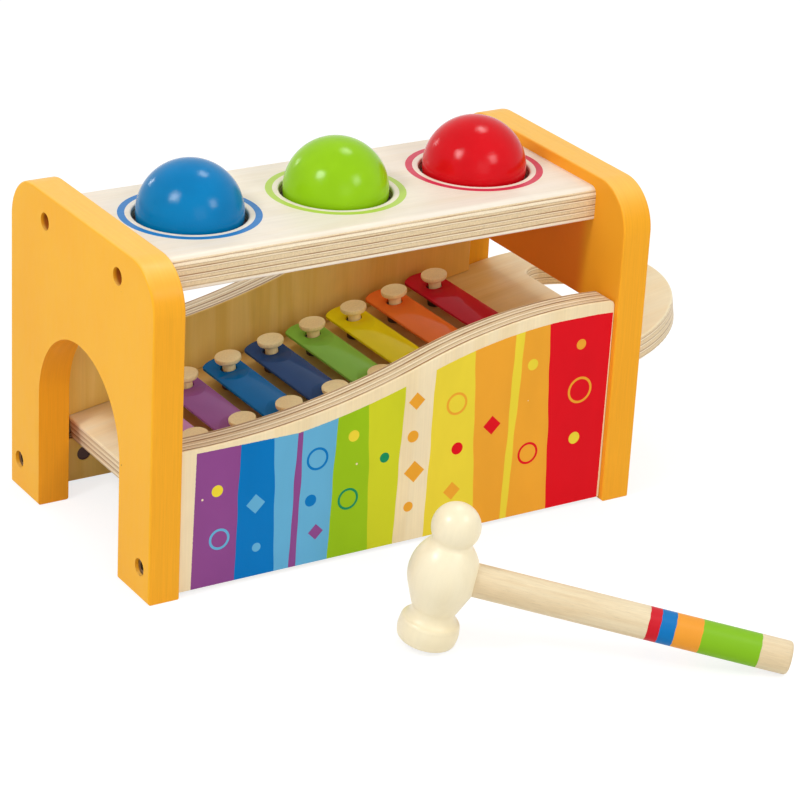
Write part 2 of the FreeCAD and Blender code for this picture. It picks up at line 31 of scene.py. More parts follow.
# Sizes of the bench that the finishes follow, in millimetres from that corner
BENCH_LENGTH = 237.3
BENCH_DEPTH = 130.2
BOARD_BOTTOM = 124.4
BOARD_THICKNESS = 14.6
HOLES = (49.9, 119.1, 188.3)
HOLE_Y = 65.1
SCREW_YS = (31.6, 97.5)
SCREW_HEIGHT = 131.7
SCREW_BORE_REACH = 4.4
ARCH_REACH = 40.0
ARCH_TOP = 92.0
PANEL_INSET = 2.3
PANEL_THICKNESS = 12.6
CURVE_LOW = (20.0, 64.6)
CURVE_HIGH = (205.0, 95.3)
CURVE_BEND_SHARE = 0.587
TRAY_TILT = math.radians(9.58)
TRAY_HEIGHT = 29.4
TRAY_THICKNESS = 11.0

# The mallet, upright with its grip along x, and how it leans onto the floor
MALLET_AT = (84.3, -75.8, 0.0)
MALLET_TURN = math.radians(-35.86)
FOOT_RADIUS = 12.1
FOOT_ROUND = 2.4
GRIP_HEIGHT = 30.997
GRIP_RADIUS = 6.85
GRIP_ROUND = 1.5
GRIP_REACH = 141.0
LEAN_RISE = GRIP_HEIGHT - GRIP_RADIUS + GRIP_ROUND - FOOT_ROUND
LEAN_RUN = GRIP_REACH - GRIP_ROUND - FOOT_RADIUS + FOOT_ROUND
LEAN_STEP = math.asin((FOOT_ROUND - GRIP_ROUND) / math.hypot(LEAN_RISE, LEAN_RUN))
MALLET_TILT = math.atan2(LEAN_RISE, LEAN_RUN) + LEAN_STEP
FOOT_LOW = FOOT_ROUND * math.cos(MALLET_TILT) - (FOOT_RADIUS - FOOT_ROUND) * math.sin(MALLET_TILT)
MALLET_LIFT = FOOT_ROUND - FOOT_LOW

BLACK = (0.0, 0.0, 0.0, 1.0)
WHITE = (1.0, 1.0, 1.0, 1.0)


def grey(amount):
    return (amount, amount, amount, 1.0)


def srgb(red, green, blue):
    out = []
    for v in (red, green, blue):
        v /= 255
        out.append(v / 12.92 if v <= 0.04045 else ((v + 0.055) / 1.055) ** 2.4)
    return (*out, 1.0)


class Value:
    """A number in a material, which takes ordinary arithmetic."""

    def __init__(self, net, socket):
        self.net = net
        self.socket = socket

    def __add__(self, other):
        return self.net.math("ADD", self, other)

    __radd__ = __add__

    def __mul__(self, other):
        return self.net.math("MULTIPLY", self, other)

    def __sub__(self, other):
        return self.net.math("SUBTRACT", self, other)

    def __rsub__(self, other):
        return self.net.math("SUBTRACT", other, self)

    def __truediv__(self, other):
        return self.net.math("DIVIDE", self, other)

    def __lt__(self, other):
        return self.net.math("LESS_THAN", self, other)

    def __gt__(self, other):
        return self.net.math("GREATER_THAN", self, other)


class Net:
    """One material, with its coordinates in millimetres from the bench's corner."""

    def __init__(self, name):
        self.material = bpy.data.materials.new(name)
        self.material.use_nodes = True
        self.tree = self.material.node_tree
        self.shader = self.tree.nodes["Principled BSDF"]
        self.coords = self.tree.nodes.new("ShaderNodeTexCoord")
        scale = self.tree.nodes.new("ShaderNodeVectorMath")
        scale.operation = "SCALE"
        scale.inputs["Scale"].default_value = 1 / MM
        self.feed(scale.inputs[0], self.less(self.coords.outputs["Object"], HOME))
        self.point = scale.outputs["Vector"]

    def feed(self, socket, value):
        if isinstance(value, Value):
            value = value.socket
        if isinstance(value, bpy.types.NodeSocket):
            self.tree.links.new(value, socket)
        else:
            socket.default_value = value

    def less(self, vector, place):
        """The vector, measured from that place."""
        node = self.tree.nodes.new("ShaderNodeVectorMath")
        node.operation = "SUBTRACT"
        self.feed(node.inputs[0], vector)
        node.inputs[1].default_value = place
        return node.outputs["Vector"]

    def math(self, operation, *values):
        node = self.tree.nodes.new("ShaderNodeMath")
        node.operation = operation
        for socket, value in zip(node.inputs, values):
            self.feed(socket, value)
        return Value(self, node.outputs[0])

    def largest(self, a, b):
        return self.math("MAXIMUM", a, b)

    def least(self, a, b):
        return self.math("MINIMUM", a, b)

    def size(self, a):
        return self.math("ABSOLUTE", a)

    def root(self, a):
        return self.math("SQRT", a)

    def split(self, vector=None):
        node = self.tree.nodes.new("ShaderNodeSeparateXYZ")
        self.feed(node.inputs[0], self.point if vector is None else vector)
        return tuple(Value(self, node.outputs[k]) for k in range(3))

    def join(self, x, y, z):
        node = self.tree.nodes.new("ShaderNodeCombineXYZ")
        for k, v in enumerate((x, y, z)):
            self.feed(node.inputs[k], v)
        return node.outputs[0]

    def turn(self, vector, axis, angle):
        node = self.tree.nodes.new("ShaderNodeVectorRotate")
        node.rotation_type = axis + "_AXIS"
        self.feed(node.inputs["Vector"], vector)
        node.inputs["Angle"].default_value = angle
        return node.outputs[0]

    def normal(self):
        return self.split(self.coords.outputs["Normal"])

    def noise(self, vector, detail=3.0, roughness=0.55, distortion=0.0):
        node = self.tree.nodes.new("ShaderNodeTexNoise")
        self.feed(node.inputs["Vector"], vector)
        node.inputs["Scale"].default_value = 1.0
        node.inputs["Detail"].default_value = detail
        node.inputs["Roughness"].default_value = roughness
        node.inputs["Distortion"].default_value = distortion
        return Value(self, node.outputs["Fac"])

    def cells(self, vector):
        """How far the nearest cell's middle is, and a chance from 0 to 1 of that cell's own."""
        node = self.tree.nodes.new("ShaderNodeTexVoronoi")
        self.feed(node.inputs["Vector"], vector)
        node.inputs["Scale"].default_value = 1.0
        chance = self.split(node.outputs["Color"])[0]
        return Value(self, node.outputs["Distance"]), chance

    def band(self, value, low, high, to_low=0.0, to_high=1.0):
        node = self.tree.nodes.new("ShaderNodeMapRange")
        node.interpolation_type = "SMOOTHSTEP"
        self.feed(node.inputs["Value"], value)
        self.feed(node.inputs["From Min"], low)
        self.feed(node.inputs["From Max"], high)
        self.feed(node.inputs["To Min"], to_low)
        self.feed(node.inputs["To Max"], to_high)
        return Value(self, node.outputs[0])

    def vary(self, noise, to_low=0.0, to_high=1.0):
        """A noise's usual reach, spread from one value to another."""
        return self.band(noise, 0.3, 0.7, to_low, to_high)

    def mix(self, factor, a, b, blend="MIX"):
        node = self.tree.nodes.new("ShaderNodeMix")
        node.data_type = "RGBA"
        node.blend_type = blend
        self.feed(node.inputs[0], factor)
        self.feed(node.inputs[6], a)
        self.feed(node.inputs[7], b)
        return node.outputs[2]

    def shade(self, colour, amount):
        """The colour times a grey of that amount."""
        return self.mix(1.0, colour, self.join(amount, amount, amount), "MULTIPLY")

    def steps(self, value, stops):
        """One colour from each stop to the next."""
        node = self.tree.nodes.new("ShaderNodeValToRGB")
        node.color_ramp.interpolation = "CONSTANT"
        elements = node.color_ramp.elements
        while len(elements) > 1:
            elements.remove(elements[-1])
        elements[0].position = stops[0][0]
        elements[0].color = stops[0][1]
        for at, colour in stops[1:]:
            elements.new(at).color = colour
        self.feed(node.inputs[0], value)
        return node.outputs[0]

    def finish(self, colour, roughness, height, depth, metal=0.0, specular=0.5):
        """Links the colour, the roughness and a bump whose full height is that depth in millimetres."""
        self.feed(self.shader.inputs["Base Color"], colour)
        self.feed(self.shader.inputs["Roughness"], roughness)
        self.shader.inputs["Metallic"].default_value = metal
        self.shader.inputs["Specular IOR Level"].default_value = specular
        bump = self.tree.nodes.new("ShaderNodeBump")
        bump.inputs["Distance"].default_value = depth * MM
        self.feed(bump.inputs["Height"], height)
        self.tree.links.new(bump.outputs["Normal"], self.shader.inputs["Normal"])
        return self.material


# Bare lacquered plywood: a pale and a warmer tone of each sheet's face, then painted bounce light and shade
# for the faces inside the bench
TOP_FACE = (srgb(246, 235, 218), srgb(242, 228, 205))
PANEL_FACE = (srgb(250, 231, 192), srgb(246, 223, 178))
# Painted warm bounce light: the inner faces' tones stand in for light bouncing inside the bench
INNER_FACE_PAINTED_BOUNCE = (srgb(250, 216, 128), srgb(240, 200, 98))
# Painted orange bounce light from the right end panel
INNER_FACE_PAINTED_ORANGE_BOUNCE = srgb(240, 176, 74)
TRAY_FACE = (srgb(255, 242, 206), srgb(252, 233, 189))
# Painted warm bounce light on the tray where it lies inside the bench
TRAY_PAINTED_BOUNCE = (srgb(248, 215, 138), srgb(242, 204, 122))
# Painted shade on the tray under the bars
TRAY_PAINTED_SHADE_UNDER_BARS = srgb(206, 142, 104)
LONG_PLY = srgb(252, 237, 206)
CROSS_PLY = srgb(232, 209, 168)
GLUE = srgb(150, 100, 46)
WOOD_BUMP = 0.03
WOOD_GLOSS = 0.3


def wood_fibres(net, along, across, up):
    return net.noise(net.join(along * 0.02, across * 1.1, up * 1.1), 5.0, 0.62, 0.4)


def wood_figure(net, along, across, up):
    return net.noise(net.join(along * 0.006, across * 0.07, up * 0.07), 3.0, 0.5, 1.2)


def glue_lines(net, share, thickness, layers, spread):
    """1 on a dark glue line and 0 away from it; spread widens the lines."""
    line = 0.0
    for low, _, dark in layers[1:]:
        away = net.size(share - low) * thickness
        wide = (0.2 + 0.28 * dark) * spread
        line = net.largest(line, net.band(away, 0.1 * spread, wide, dark * 1.1, 0.0))
    return line


def plywood(net, along, across, up, thickness, layers, grain_normal, cross_normal, skin, tones, spread=1.0):
    """Colour and height of plywood.

    layers are (share of the thickness where it starts, is it a cross ply, how dark its lower glue line is)
    from below. skin is the thickness at both faces that shows the face's own tones.
    """
    long_fibres = wood_fibres(net, along, across, up)
    long_figure = wood_figure(net, along, across, up)
    cross_fibres = wood_fibres(net, across, along, up)
    wander = net.noise(net.join(along * 0.03, across * 0.03, 0.0), 2.0) * 0.022 - 0.011
    share = up / thickness + wander
    cross_ply = net.split(net.steps(share, [(low, WHITE if cross else BLACK) for low, cross, _ in layers]))[0]
    long_ply = 1.0 - cross_ply
    end_grain = cross_ply * net.size(cross_normal) + long_ply * net.size(grain_normal)
    mottle = net.noise(net.join(along * 2.2, across * 2.2, up * 2.6), 4.0, 0.8)
    edge = net.mix(net.band(end_grain, 0.2, 0.9), LONG_PLY, CROSS_PLY)
    edge = net.shade(edge, net.band(mottle, 0.25, 0.75, 0.86, 1.1))
    edge = net.shade(edge, net.vary(cross_fibres * cross_ply + long_fibres * long_ply, 0.93, 1.05))
    broken = net.noise(net.join(along * 0.06, across * 0.06, up * 0.9), 3.0)
    line = glue_lines(net, share, thickness, layers, spread) * net.band(broken, 0.3, 0.6, 0.6, 1.0)
    edge = net.mix(line, edge, GLUE)
    face = net.mix(net.vary(long_figure), tones[0], tones[1])
    face = net.shade(face, net.band(long_fibres, 0.25, 0.75, 0.96, 1.02))
    clouds = net.noise(net.join(along * 0.03, across * 0.05, up * 0.05), 3.0, 0.6, 0.6)
    face = net.shade(face, net.vary(clouds, 0.96, 1.02))
    pores = net.noise(net.join(along * 0.12, across * 4.5, up * 4.5), 2.0, 0.5)
    face = net.shade(face, net.band(pores, 0.66, 0.78, 1.0, 0.93))
    in_skin = net.largest(up < skin, up > thickness - skin)
    height = long_fibres * 0.5 + (1.0 - line * (1.0 - in_skin)) * 0.5
    return net.mix(in_skin, edge, face), height


TOP_LAYERS = (
    (0.0, False, 0.0), (0.13, True, 0.8), (0.26, False, 0.3), (0.315, True, 0.75), (0.411, False, 0.35),
    (0.466, True, 0.8), (0.616, False, 0.3), (0.671, True, 0.8), (0.753, False, 0.4), (0.86, True, 0.75),
    (0.93, False, 0.0),
)
TOP_SKIN = 1.3
RING_INKS = (srgb(20, 122, 192), srgb(184, 212, 78), srgb(214, 44, 78))
RING_INNER = 26.8
RING_OUTER = 29.8
INK_DEPTH = 0.15


def top_board_look():
    net = Net("top_board_wood")
    x, y, z = net.split()
    nx, ny, _ = net.normal()
    up = z - BOARD_BOTTOM
    colour, height = plywood(net, x, y, up, BOARD_THICKNESS, TOP_LAYERS, nx, ny, TOP_SKIN, TOP_FACE)
    on_top = up > BOARD_THICKNESS - INK_DEPTH
    for hole, ink in zip(HOLES, RING_INKS):
        dx = x - hole
        dy = y - HOLE_Y
        away = net.root(dx * dx + dy * dy)
        colour = net.mix((away > RING_INNER) * (away < RING_OUTER) * on_top, colour, ink)
    rough = net.vary(net.noise(net.join(x * 0.03, y * 0.5, z * 0.5)), 0.34, 0.44)
    return net.finish(colour, rough, height, WOOD_BUMP, specular=WOOD_GLOSS)


PANEL_LAYERS = (
    (0.0, False, 0.0), (0.09, True, 0.85), (0.18, False, 0.15), (0.30, True, 0.5), (0.42, False, 0.2),
    (0.57, True, 0.9), (0.68, False, 0.15), (0.76, True, 0.45), (0.90, False, 0.85),
)
PANEL_SKIN = 0.35
INNER_FACE_DEPTH = 0.5
PANEL_LINE_SPREAD = 1.7


def panel_wood(net, front):
    """Plywood with its grain upright; the thickness runs inwards from the outer face."""
    x, y, z = net.split()
    nx, _, nz = net.normal()
    inward = y - PANEL_INSET if front else (BENCH_DEPTH - PANEL_INSET) - y
    looks_in = inward > PANEL_THICKNESS - INNER_FACE_DEPTH
    # Painted warm bounce light on the face that looks into the bench
    tones = [net.mix(looks_in, outer, inner) for outer, inner in zip(PANEL_FACE, INNER_FACE_PAINTED_BOUNCE)]
    # Painted orange bounce light, growing towards the right end panel
    painted_orange_bounce = looks_in * net.band(x, 130.0, 215.0, 0.0, 0.8)
    tones = [net.mix(painted_orange_bounce, tone, INNER_FACE_PAINTED_ORANGE_BOUNCE) for tone in tones]
    colour, height = plywood(
        net, z, x, inward, PANEL_THICKNESS, PANEL_LAYERS, nz, nx, PANEL_SKIN, tones, PANEL_LINE_SPREAD
    )
    return x, z, inward, colour, height


def back_panel_look():
    net = Net("back_panel_wood")
    x, z, _, colour, height = panel_wood(net, False)
    rough = net.vary(net.noise(net.join(x * 0.5, 0.0, z * 0.03)), 0.36, 0.46)
    return net.finish(colour, rough, height, WOOD_BUMP, specular=WOOD_GLOSS)


PURPLE = srgb(142, 74, 140)
BLUE = srgb(0, 118, 190)
SKY = srgb(102, 176, 214)
GREEN = srgb(155, 195, 22)
LIME = srgb(208, 210, 38)
YELLOW = srgb(238, 214, 58)
ORANGE = srgb(240, 166, 48)
RED = srgb(224, 8, 26)
TEAL = srgb(20, 140, 90)
BARE = None

# Each stripe's right edge: where it is at the floor, where it is at that height, and the ink
STRIPE_HEIGHT = 90.0
STRIPES = (
    (40.5, 42.5, PURPLE), (59.0, 56.5, BLUE), (66.0, 69.5, SKY), (69.2, 71.6, PURPLE), (84.5, 88.0, SKY),
    (104.0, 101.0, GREEN), (116.5, 120.0, LIME), (131.5, 134.0, BARE), (157.0, 152.5, YELLOW),
    (170.5, 173.0, ORANGE), (174.0, 177.6, YELLOW), (194.5, 190.0, ORANGE), (223.0, 223.0, RED),
)
PRINT_LEFT = (20.3, 22.3)
PRINT_RIGHT = (221.7, 222.4)
PRINT_TOP_GAP = 5.6
PRINT_TOP_LOW = 62.5
PRINT_TOP_HIGH = 89.5
PRINT_DEPTH = 0.12
STRIPE_WOBBLE = 1.2
PRINT_RAGGED = 0.15

# Dots, rings and diamonds: kind, x, z, size, ink
MOTIFS = (
    ("dot", 31.5, 44.0, 2.6, YELLOW), ("ring", 33.0, 22.0, 4.2, SKY),
    ("diamond", 49.5, 34.5, 4.4, SKY), ("dot", 50.5, 14.5, 2.0, SKY),
    ("ring", 78.0, 49.0, 4.6, BLUE), ("dot", 75.5, 30.5, 2.7, BLUE), ("diamond", 78.5, 15.5, 3.6, PURPLE),
    ("ring", 93.5, 27.5, 4.4, TEAL), ("dot", 95.0, 56.0, 2.6, YELLOW), ("dot", 110.5, 43.0, 2.3, TEAL),
    ("diamond", 125.0, 66.0, 4.0, ORANGE), ("dot", 124.0, 50.0, 2.7, ORANGE),
    ("diamond", 125.5, 33.5, 5.0, ORANGE), ("dot", 123.5, 17.5, 2.3, ORANGE),
    ("ring", 145.0, 61.0, 4.6, ORANGE), ("dot", 146.5, 40.0, 2.8, RED), ("diamond", 145.0, 20.5, 4.2, ORANGE),
    ("diamond", 163.5, 47.5, 4.4, RED), ("dot", 182.5, 72.0, 2.6, YELLOW), ("ring", 183.0, 30.5, 4.6, RED),
    ("dot", 207.0, 77.0, 2.4, ORANGE), ("ring", 208.0, 55.5, 5.6, ORANGE), ("dot", 207.0, 33.0, 2.8, YELLOW),
)
RING_LINE = 0.55


def curve_height(net, x, lowered):
    """Height of the panel's top edge, or of a line that many millimetres inside it."""
    drop = CURVE_HIGH[1] - CURVE_LOW[1]
    span = CURVE_HIGH[0] - CURVE_LOW[0]
    radii = (span**2 + drop**2) / (2 * drop)
    low_radius = radii * CURVE_BEND_SHARE
    high_radius = radii - low_radius
    bend = CURVE_LOW[0] + low_radius * math.sin(math.atan2(span, radii - drop))
    a = x - CURVE_LOW[0]
    b = x - CURVE_HIGH[0]
    low = (CURVE_LOW[1] + low_radius) - net.root((low_radius + lowered) ** 2 - a * a)
    high = net.root((high_radius - lowered) ** 2 - b * b) + (CURVE_HIGH[1] - high_radius)
    after = x > bend
    return low * (1.0 - after) + high * after


def leaning_edge(z, low, high):
    """Where an upright edge is at a height, from its places at the floor and at the stripes' height."""
    return z * ((high - low) / STRIPE_HEIGHT) + low


def stripes(net, x, z, wood):
    """The stripes' inks, with the bare stripe showing the wood, and 1 where it does."""
    ink = wood
    bare = 0.0
    wobble = net.noise(net.join(0.0, 0.0, z * 0.035), 1.0) * (2 * STRIPE_WOBBLE) - STRIPE_WOBBLE
    for k in reversed(range(len(STRIPES))):
        low, high, colour = STRIPES[k]
        sway = 0.0 if k == len(STRIPES) - 1 else (-1.0) ** k
        left_of = x < leaning_edge(z, low, high) + wobble * sway
        ink = net.mix(left_of, ink, wood if colour is BARE else colour)
        bare = left_of * (1.0 if colour is BARE else 0.0) + (1.0 - left_of) * bare
    return ink, bare


def motif(net, x, z, kind, at_x, at_z, big):
    dx = x - at_x
    dz = z - at_z
    if kind == "diamond":
        return (net.size(dx) + net.size(dz)) < big
    away = net.root(dx * dx + dz * dz)
    return away < big if kind == "dot" else net.size(away - big) < RING_LINE


def front_panel_look():
    net = Net("front_panel_print")
    x, z, inward, wood, height = panel_wood(net, True)
    ink, bare = stripes(net, x, z, wood)
    for kind, at_x, at_z, big, colour in MOTIFS:
        mark = motif(net, x, z, kind, at_x, at_z, big)
        ink = net.mix(mark, ink, colour)
        bare = (1.0 - mark) * bare
    left = leaning_edge(z, *PRINT_LEFT)
    right = leaning_edge(z, *PRINT_RIGHT)
    top = net.largest(net.least(curve_height(net, x, PRINT_TOP_GAP), PRINT_TOP_HIGH), PRINT_TOP_LOW)
    ragged = net.noise(net.join(x * 0.9, 0.0, z * 0.9), 2.0) * (2 * PRINT_RAGGED) - PRINT_RAGGED
    printed = (x > left + ragged) * (x < right + ragged) * (z < top + ragged) * (inward < PRINT_DEPTH)
    specks, chance = net.cells(net.join(x * 0.07, 3.0, z * 0.07))
    printed = printed * (1.0 - (specks < 0.035) * (chance > 0.62))
    tone = net.noise(net.join(x * 0.05, 7.0, z * 0.02), 3.0)
    ink = net.shade(ink, net.vary(tone, 0.97, 1.03))
    colour = net.mix(printed, wood, ink)
    rough = net.mix(printed * (1.0 - bare), grey(0.42), grey(0.3))
    return net.finish(colour, net.split(rough)[0], height * (1.0 - printed * 0.6), WOOD_BUMP, specular=0.08)


TRAY_LAYERS = (
    (0.0, False, 0.0), (0.10, True, 0.5), (0.27, False, 0.3), (0.36, True, 0.8), (0.53, False, 0.2),
    (0.61, True, 0.6), (0.78, False, 0.3), (0.87, True, 0.5), (0.95, False, 0.0),
)
TRAY_SKIN = 0.4


def tray_look():
    """Plywood along the tray's slope, with painted warm bounce light where it lies inside the bench and
    painted shade under the bars, strongest towards the front.
    """
    net = Net("tray_wood")
    s, y, h = net.split(net.turn(net.less(net.point, (0.0, 0.0, TRAY_HEIGHT)), "Y", TRAY_TILT))
    nx, ny, _ = net.normal()
    # Painted warm bounce light where the tray lies inside the bench
    inside = net.band(s, 18.0, 60.0) * net.band(s, 226.0, 252.0, 1.0, 0.0)
    tones = [net.mix(inside, outer, inner) for outer, inner in zip(TRAY_FACE, TRAY_PAINTED_BOUNCE)]
    # Painted shade under the bars, strongest towards the front
    along_bars = net.band(s, 30.0, 44.0) * net.band(s, 194.0, 206.0, 1.0, 0.0)
    painted_shade_under_bars = along_bars * net.band(y, 25.0, 110.0, 0.35, 0.0)
    tones = [net.mix(painted_shade_under_bars, tone, TRAY_PAINTED_SHADE_UNDER_BARS) for tone in tones]
    up = h + TRAY_THICKNESS
    colour, height = plywood(net, s, y, up, TRAY_THICKNESS, TRAY_LAYERS, nx, ny, TRAY_SKIN, tones)
    rough = net.vary(net.noise(net.join(s * 0.03, y * 0.5, h * 0.5)), 0.36, 0.46)
    return net.finish(colour, rough, height, WOOD_BUMP, specular=WOOD_GLOSS)


# Orange of the end panels: two tones of the faces, then the places that show another: a painted sheen on the
# tops, painted shade inside, in the arch, on the fronts and in the bores, and the pits' own colour
END_ORANGE = (srgb(250, 184, 44), srgb(249, 179, 38))
END_TOP_PAINTED_SHEEN = srgb(255, 204, 112)
END_INNER_PAINTED_SHADE = srgb(244, 136, 40)
END_ARCH_PAINTED_BOUNCE = srgb(252, 150, 20)
END_FRONT_PAINTED_SHADE = srgb(244, 164, 38)
END_BORE_PAINTED_SHADE = srgb(186, 102, 34)
END_PIT = srgb(150, 90, 30)


def end_paint_look(name):
    """Satin orange, with painted shade on the face that looks into the bench, deepest in the top board's
    painted shadow.
    """
    net = Net(name)
    x, y, z = net.split()
    nx, ny, nz = net.normal()
    is_left = name == "left_end_paint"
    on_edge = 1.0 - net.band(net.size(nx), 0.5, 0.95)
    soft = net.noise(net.join(x * 0.02, y * 0.02, z * 0.02), 2.0)
    colour = net.mix(net.vary(soft), END_ORANGE[0], END_ORANGE[1])
    looks_in = net.band(nx if is_left else nx * -1.0, 0.5, 0.9)
    # Painted shadow of the top board: below the board, behind its front edge
    board_painted_shadow = net.band(z, BOARD_BOTTOM - 1.0, BOARD_BOTTOM + 1.0, 1.0, 0.0) * net.band(y, 20.0, 34.0)
    in_arch = on_edge * (net.size(y - BENCH_DEPTH / 2) < ARCH_REACH) * (z < ARCH_TOP)
    # Painted sheen: faces that look up are made paler
    colour = net.mix(net.band(nz, 0.3, 0.95) * 0.55, colour, END_TOP_PAINTED_SHEEN)
    # Painted shade on the face that looks into the bench, full in the board's painted shadow
    colour = net.mix(looks_in * net.largest(board_painted_shadow, 0.35), colour, END_INNER_PAINTED_SHADE)
    # Painted orange bounce light and shade on the arch's inner walls
    colour = net.mix(in_arch * 0.6, colour, END_ARCH_PAINTED_BOUNCE)
    # Painted shade: faces that look to the front are made a deeper orange
    colour = net.mix(net.band(ny * -1.0, 0.5, 0.95) * 0.6, colour, END_FRONT_PAINTED_SHADE)
    # Painted shade inside the bolts' bores
    sunk = net.band(x if is_left else BENCH_LENGTH - x, 0.6, 2.0)
    for screw_y in SCREW_YS:
        dy = y - screw_y
        dz = z - SCREW_HEIGHT
        in_bore = (net.root(dy * dy + dz * dz) < SCREW_BORE_REACH) * sunk
        colour = net.mix(in_bore, colour, END_BORE_PAINTED_SHADE)
    plies = net.noise(net.join(x * 1.3, y * 0.03, z * 0.03), 4.0, 0.7)
    colour = net.shade(colour, 1.0 - on_edge * net.vary(plies, 0.05, -0.03))
    pits, chance = net.cells(net.join(x * 0.05, y * 0.05, z * 0.05))
    pit = (pits < 0.028) * (chance > 0.7)
    colour = net.mix(pit * 0.75, colour, END_PIT)
    face_grain = net.noise(net.join(x * 0.6, y * 0.6, z * 0.02), 4.0, 0.6)
    height = face_grain * (1.0 - on_edge) * 0.4 + plies * on_edge
    rough = net.vary(net.noise(net.join(x * 0.4, y * 0.4, z * 0.1)), 0.32, 0.42)
    return net.finish(colour, rough, height, 0.035, specular=0.11)


BALL_PAINT = {
    "blue": (srgb(0, 124, 184), srgb(0, 117, 175)), "green": (srgb(152, 205, 22), srgb(144, 196, 18)),
    "red": (srgb(218, 14, 26), srgb(208, 10, 22)),
}


def ball_look(name, paint, deep):
    """Sprayed gloss on turned wood: a fine orange peel that breaks up the highlights."""
    net = Net(name)
    x, y, z = net.split()
    peel = net.noise(net.join(x * 1.4, y * 1.4, z * 1.4), 3.0, 0.6)
    soft = net.noise(net.join(x * 0.05, y * 0.05, z * 0.05), 2.0)
    colour = net.mix(net.vary(soft), paint, deep)
    rough = net.band(peel, 0.35, 0.65, 0.08, 0.17)
    return net.finish(colour, rough, peel, 0.055, specular=0.12)


BAR_PAINT = {
    "lilac": srgb(208, 140, 196), "purple": srgb(164, 100, 168), "blue": srgb(8, 116, 188),
    "navy": srgb(48, 82, 138), "green": srgb(144, 202, 78), "yellow": srgb(246, 226, 22),
    "orange": srgb(250, 126, 50), "red": srgb(202, 32, 48),
}


def bar_look(name, paint):
    """Glossy enamel on pressed steel."""
    net = Net(name)
    x, y, z = net.split()
    ripple = net.noise(net.join(x * 0.15, y * 0.05, z * 0.15), 2.0)
    wave = net.noise(net.join(x * 0.12, y * 0.06, z * 0.12), 2.0)
    colour = net.shade(paint, net.vary(ripple, 0.97, 1.03))
    return net.finish(colour, net.vary(ripple, 0.07, 0.11), wave, 0.07, specular=0.05)


def pin_look():
    net = Net("pin_wood")
    x, y, z = net.split()
    tone = net.noise(net.join(x * 0.05, y * 0.05, z * 0.01), 1.0)
    grain = net.noise(net.join(x * 1.4, y * 1.4, z * 0.12), 4.0, 0.6)
    colour = net.mix(net.band(tone, 0.35, 0.65), srgb(255, 234, 176), srgb(252, 222, 158))
    colour = net.shade(colour, net.vary(grain, 0.93, 1.04))
    return net.finish(colour, 0.42, grain, 0.04, specular=WOOD_GLOSS)


def rubber_look(name, tone, rough):
    net = Net(name)
    x, y, z = net.split()
    grit = net.noise(net.join(x * 2.5, y * 2.5, z * 2.5), 3.0)
    return net.finish(net.shade(tone, net.vary(grit, 0.85, 1.15)), rough, grit, 0.03)


def steel_look(name, tone, rough):
    """Steel with the fine rings of turning, which also make it rougher here and there."""
    net = Net(name)
    x, y, z = net.split()
    turned = net.noise(net.join(x * 0.4, y * 3.0, z * 3.0), 3.0)
    colour = net.shade(tone, net.vary(turned, 0.85, 1.08))
    return net.finish(colour, net.vary(turned, rough, rough + 0.15), turned, 0.02, metal=0.9)


def dowel_look():
    net = Net("dowel_wood")
    x, y, z = net.split()
    grain = net.noise(net.join(x * 0.08, y * 1.6, z * 1.6), 4.0, 0.6)
    colour = net.mix(net.vary(grain), srgb(226, 196, 150), srgb(205, 170, 122))
    return net.finish(colour, 0.6, grain, 0.04)


def mallet_frame(net):
    """Distances from the head's middle: along the grip, across it and up the head."""
    turned = net.turn(net.less(net.point, MALLET_AT), "Z", -MALLET_TURN)
    return net.split(net.turn(net.less(turned, (0.0, 0.0, MALLET_LIFT)), "Y", -MALLET_TILT))


def mallet_head_look():
    net = Net("mallet_head_lacquer")
    along, across, up = mallet_frame(net)
    grain = net.noise(net.join(along * 0.7, across * 0.7, up * 0.03), 4.0, 0.6)
    soft = net.noise(net.join(along * 0.06, across * 0.06, up * 0.03), 2.0)
    colour = net.mix(net.vary(soft), srgb(249, 237, 204), srgb(246, 232, 195))
    colour = net.shade(colour, net.band(grain, 0.25, 0.75, 0.985, 1.01))
    peel = net.noise(net.join(along * 0.9, across * 0.9, up * 0.9), 3.0)
    height = peel * 0.8 + grain * 0.2
    return net.finish(colour, net.vary(peel, 0.3, 0.38), height, 0.03, specular=WOOD_GLOSS)


# Painted bands of the grip: from, to and paint
BANDS = (
    (82.7, 87.4, srgb(206, 22, 38)), (87.4, 93.5, srgb(0, 116, 186)),
    (93.5, 104.3, srgb(240, 158, 50)), (104.3, 128.1, srgb(132, 188, 26)),
)


def mallet_handle_look():
    net = Net("mallet_handle_wood")
    along, across, up = mallet_frame(net)
    fibres = net.noise(net.join(along * 0.14, across * 1.9, up * 1.9), 5.0, 0.7, 0.3)
    figure = net.noise(net.join(along * 0.02, across * 0.25, up * 0.25), 3.0, 0.5, 0.8)
    pores = net.noise(net.join(along * 0.22, across * 3.6, up * 3.6), 2.0, 0.5)
    colour = net.mix(net.vary(figure), srgb(238, 220, 184), srgb(228, 204, 163))
    colour = net.shade(colour, net.band(fibres, 0.25, 0.75, 0.93, 1.03))
    colour = net.shade(colour, net.band(pores, 0.6, 0.74, 1.0, 0.87))
    painted = (along > BANDS[0][0]) * (along < BANDS[-1][1])
    wander = net.noise(net.join(0.0, across * 0.4, up * 0.4), 1.0) * 0.5 - 0.25
    for low, high, paint in BANDS:
        colour = net.mix((along > low + wander) * (along < high + wander), colour, paint)
    return net.finish(colour, 0.44, fibres * (1.0 - painted * 0.7), 0.06, specular=0.15)


def dress(material, *names):
    for name in names:
        slots = nodes[name].data.materials
        slots.clear()
        slots.append(material)


